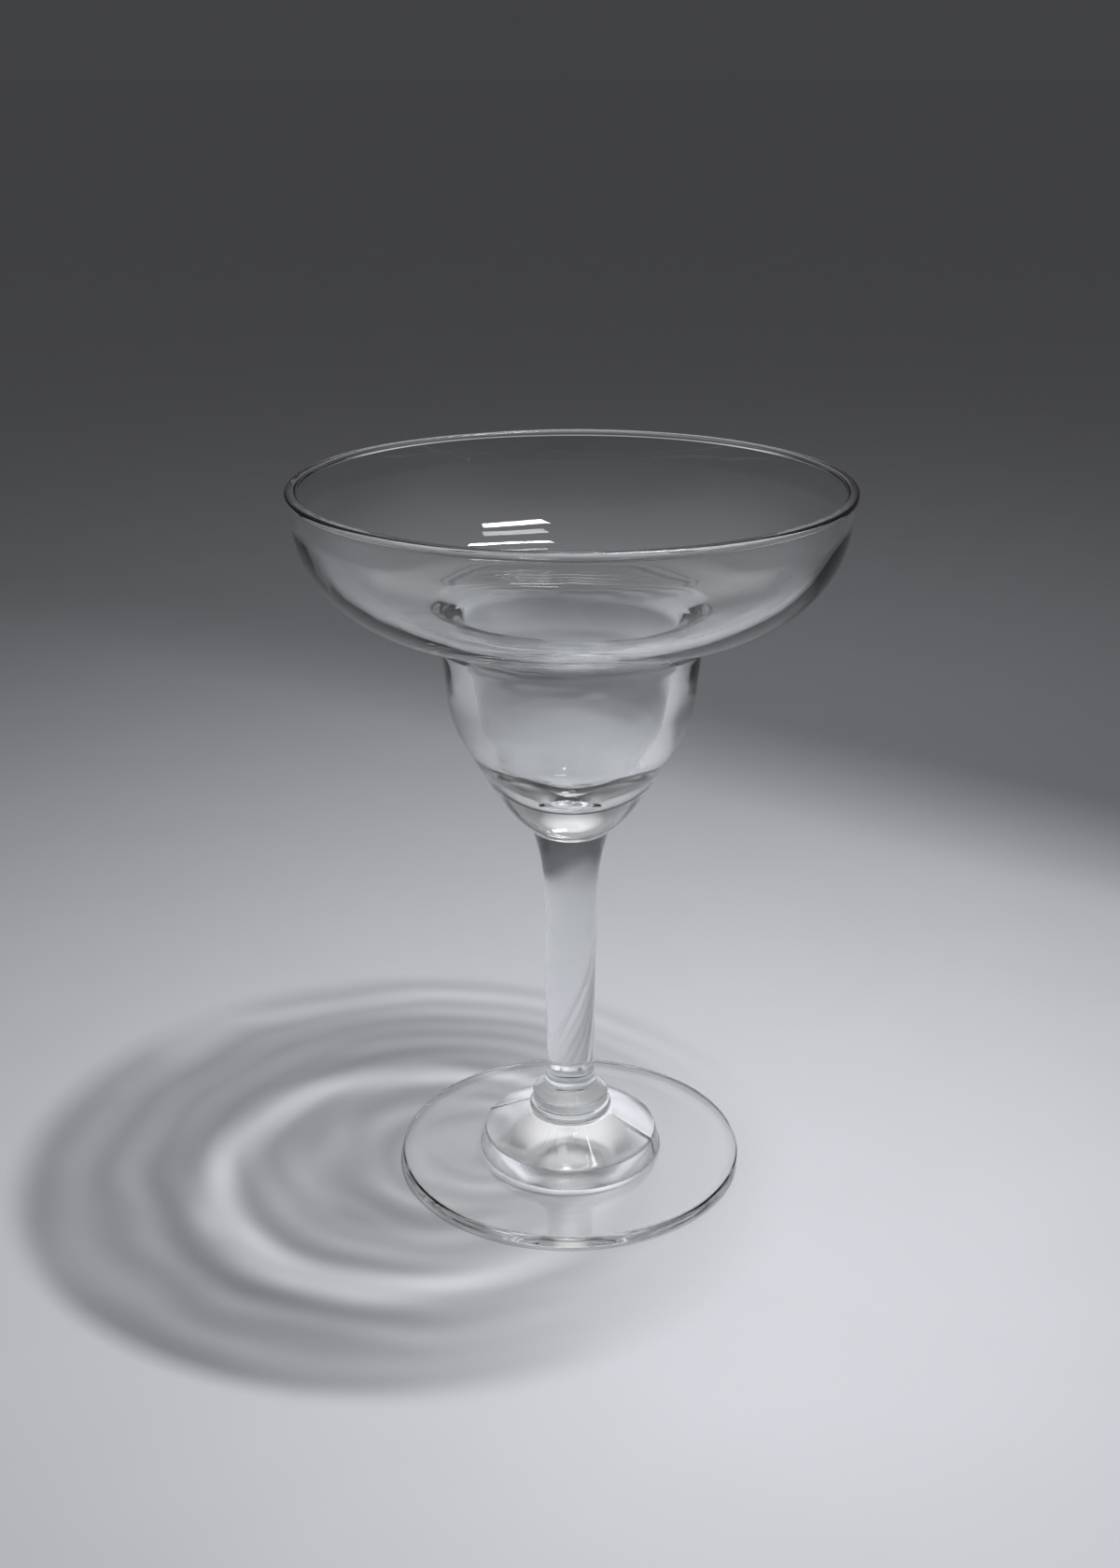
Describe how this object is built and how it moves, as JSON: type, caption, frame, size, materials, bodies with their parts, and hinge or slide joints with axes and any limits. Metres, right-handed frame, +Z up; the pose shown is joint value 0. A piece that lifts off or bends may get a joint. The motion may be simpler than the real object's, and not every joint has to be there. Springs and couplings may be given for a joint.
{
  "type": "margarita glass",
  "caption": "Clear stemmed cocktail glass: a wide saucer bowl that steps down to a narrow cup, on a solid stem with ring collars and a flat disc foot with a raised boss.",
  "frame": {"origin": "centre of the foot's resting ring, on the table under the axis of the glass", "axes": "+Z up along the axis of the glass, from foot to rim; -Y towards the viewer of the picture"},
  "size_m": [0.112, 0.112, 0.1525],
  "materials": {
    "clear_glass": "clear soda-lime glass, fire-polished and glossy, faint grey-green in its thick edges"
  },
  "bodies": {
    "root": {"bowl": "clear_glass", "stem": "clear_glass", "upper_collar": "clear_glass", "lower_collar": "clear_glass", "foot": "clear_glass"}
  },
  "joints": []
}
